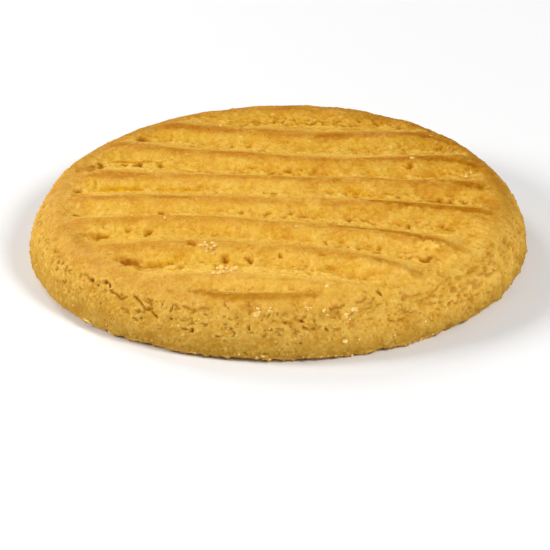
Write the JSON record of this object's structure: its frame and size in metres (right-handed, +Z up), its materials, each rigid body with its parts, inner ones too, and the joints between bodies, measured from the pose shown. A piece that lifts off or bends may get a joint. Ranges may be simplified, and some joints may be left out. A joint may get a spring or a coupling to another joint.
{
  "type": "shortbread biscuit",
  "caption": "Round shortbread biscuit with broad combed ridges on its browned top, a smooth rounded shoulder, a crumbly side wall and a flat base.",
  "frame": {"origin": "centre of the flat base", "axes": "+Z up out of the combed top; the comb ridges run roughly along X, and -Y is the front"},
  "size_m": [0.0663, 0.0658, 0.009],
  "materials": {
    "baked_dough": "matt golden baked dough, browner along the ridges and paler and more open on the side wall"
  },
  "bodies": {
    "root": {"biscuit": "baked_dough"}
  },
  "joints": []
}
